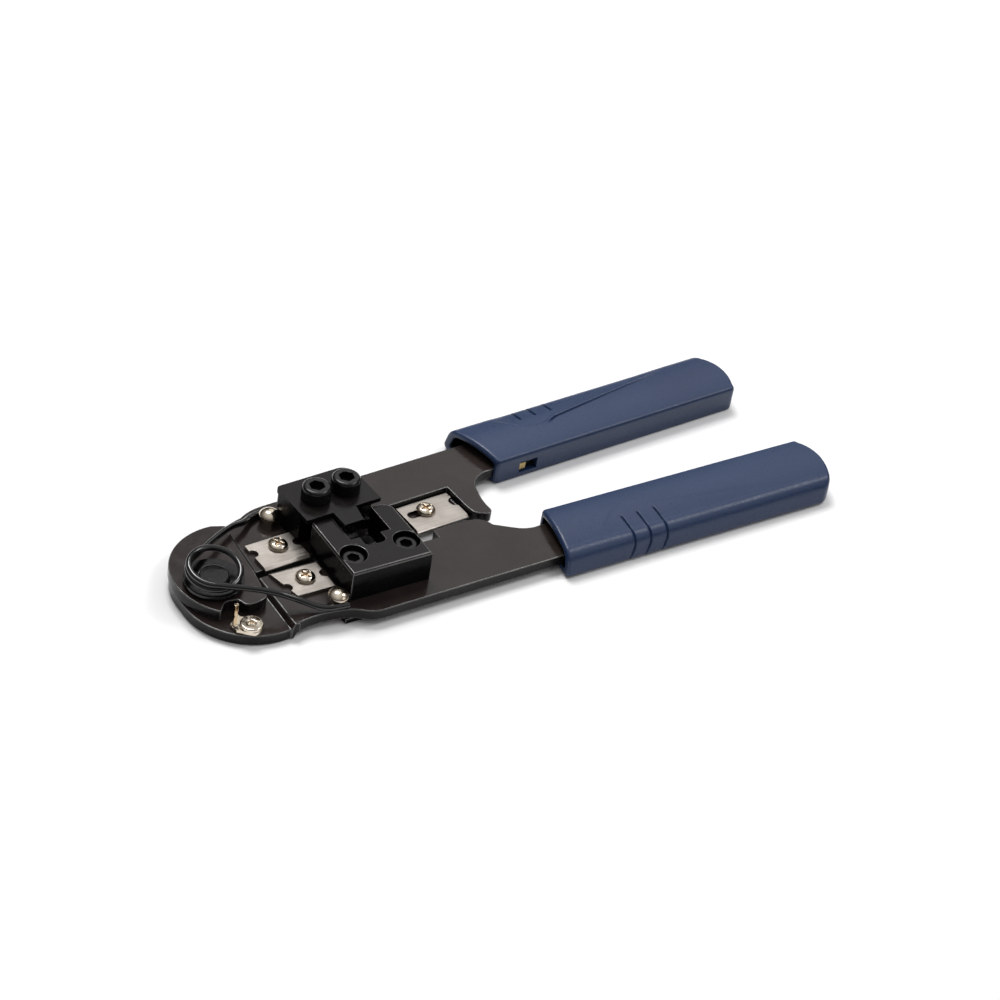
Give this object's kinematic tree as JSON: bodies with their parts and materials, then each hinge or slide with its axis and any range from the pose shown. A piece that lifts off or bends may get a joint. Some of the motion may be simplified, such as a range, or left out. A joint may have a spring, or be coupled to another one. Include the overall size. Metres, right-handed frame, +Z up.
{
  "type": "modular plug crimping tool",
  "caption": "Hand crimping tool: two pivoted flat arms with a plug die, wire-stripping blades, a wire cutter, torsion spring, latch and moulded grips.",
  "frame": {"origin": "centre of the tool's footprint, on the surface it lies on", "axes": "+X along the lower arm from the pivot to the grips, +Z up through the thin way of the tool"},
  "size_m": [0.2, 0.0708, 0.0201],
  "materials": {
    "arm_steel": "semi-gloss black",
    "die_black": "semi-gloss black",
    "black_oxide": "black oxide",
    "blade_steel": "ground and nickel plated",
    "nickel": "bright nickel",
    "brass": "satin",
    "grip_plastic": "fine-grained satin navy"
  },
  "bodies": {
    "lower": {"lower_arm": "arm_steel", "lower_grip": "grip_plastic", "lower_die_block": "die_black", "lower_backing_plate": "die_black", "lower_die_screws": "black_oxide", "torsion_spring": "black_oxide", "spring_collar": "black_oxide", "pivot_rivet": "black_oxide", "lower_stripper_blade": "blade_steel", "lower_blade_screw": "nickel", "lower_spring_post": "nickel", "latch_rivet": "nickel"},
    "upper": {"upper_arm": "arm_steel", "upper_grip": "grip_plastic", "grip_clip": "brass", "upper_die_block": "die_black", "contact_punch": "black_oxide", "strain_relief_punch": "black_oxide", "upper_die_screws": "black_oxide", "upper_backing_plate": "die_black", "upper_stripper_blade": "blade_steel", "upper_blade_screw": "nickel", "upper_spring_post": "nickel", "cutter_blade": "blade_steel", "cutter_screw": "nickel"},
    "latch": {"latch_clip": "nickel"}
  },
  "joints": [
    {"name": "arm_pivot", "type": "hinge", "parent": "lower", "child": "upper", "pos_m": [-0.09042, -0.00662, 0.0034], "axis": [0, 0, 1], "range_deg": [-1.8, 7], "stiffness_Nm_per_rad": 0.9, "deforming": ["torsion_spring"]},
    {"name": "latch_pivot", "type": "hinge", "parent": "lower", "child": "latch", "pos_m": [-0.08762, -0.02341, 0.0039], "axis": [0, 0, 1], "range_deg": [0, 55]}
  ]
}
